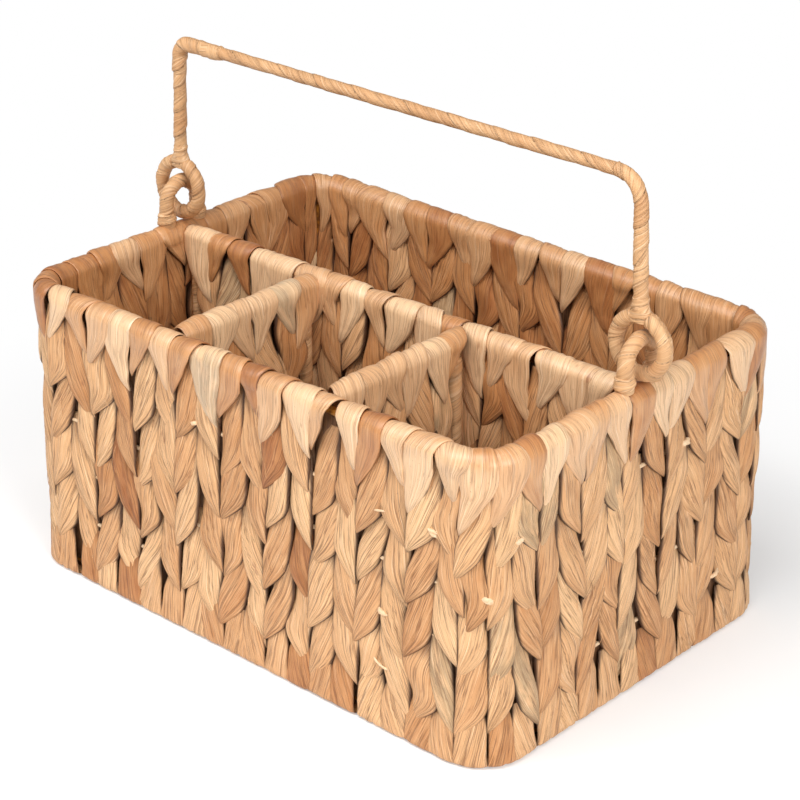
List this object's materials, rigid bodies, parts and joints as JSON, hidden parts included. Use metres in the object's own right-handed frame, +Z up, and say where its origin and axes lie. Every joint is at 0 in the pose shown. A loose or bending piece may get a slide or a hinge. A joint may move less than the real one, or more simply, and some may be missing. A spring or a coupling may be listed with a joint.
{
  "type": "cutlery caddy",
  "caption": "Rectangular woven table caddy on a wire frame, with open compartments for cutlery and napkins and a wound wire bail that swings over the top.",
  "frame": {"origin": "on the table, under the middle of the basket", "axes": "+Z up, +X along the handle's bar, -Y towards the three small compartments"},
  "size_m": [0.3182, 0.21, 0.2457],
  "materials": {
    "weave": "dried twined strand, satin",
    "lap": "flat dried strand, satin",
    "wrap": "wound dried strip, satin",
    "cord": "twisted plant cord, matt",
    "wire": "amber lacquer"
  },
  "bodies": {
    "basket": {"back_rim_lap": "lap", "back_weave": "weave", "base_cross_rod_1": "wire", "base_cross_rod_2": "wire", "base_spine_rod": "wire", "base_weave": "weave", "base_wire": "wire", "corner_post_back_left": "wire", "corner_post_back_right": "wire", "corner_post_front_left": "wire", "corner_post_front_right": "wire", "corner_rim_lap_back_left": "lap", "corner_rim_lap_back_right": "lap", "corner_rim_lap_front_left": "lap", "corner_rim_lap_front_right": "lap", "corner_weave_back_left": "weave", "corner_weave_back_right": "weave", "corner_weave_front_left": "weave", "corner_weave_front_right": "weave", "front_rim_lap": "lap", "front_weave": "weave", "left_eye_wire": "wire", "left_eye_wrap": "wrap", "left_rim_lap": "lap", "left_weave": "weave", "long_divider_cords": "cord", "long_divider_lap": "lap", "long_divider_post_wrap_1": "wrap", "long_divider_post_wrap_2": "wrap", "long_divider_weave": "weave", "long_divider_wire": "wire", "right_eye_wire": "wire", "right_eye_wrap": "wrap", "right_rim_lap": "lap", "right_weave": "weave", "rim_wire": "wire", "short_divider_1_cords": "cord", "short_divider_1_lap": "lap", "short_divider_1_post_wrap_1": "wrap", "short_divider_1_post_wrap_2": "wrap", "short_divider_1_weave": "weave", "short_divider_1_wire": "wire", "short_divider_2_cords": "cord", "short_divider_2_lap": "lap", "short_divider_2_post_wrap_1": "wrap", "short_divider_2_post_wrap_2": "wrap", "short_divider_2_weave": "weave", "short_divider_2_wire": "wire", "wall_cord_1": "cord", "wall_cord_2": "cord", "wall_cord_3": "cord", "wall_cord_4": "cord"},
    "bail": {"bail_bar_wrap": "wrap", "bail_leg_wrap_left": "wrap", "bail_leg_wrap_right": "wrap", "bail_ring_wrap_left": "wrap", "bail_ring_wrap_right": "wrap", "bail_wire": "wire"}
  },
  "joints": [
    {"name": "bail_swing", "type": "hinge", "parent": "basket", "child": "bail", "pos_m": [0, 0, 0.1541], "axis": [1, 0, 0], "range_deg": [-90, 90]}
  ]
}
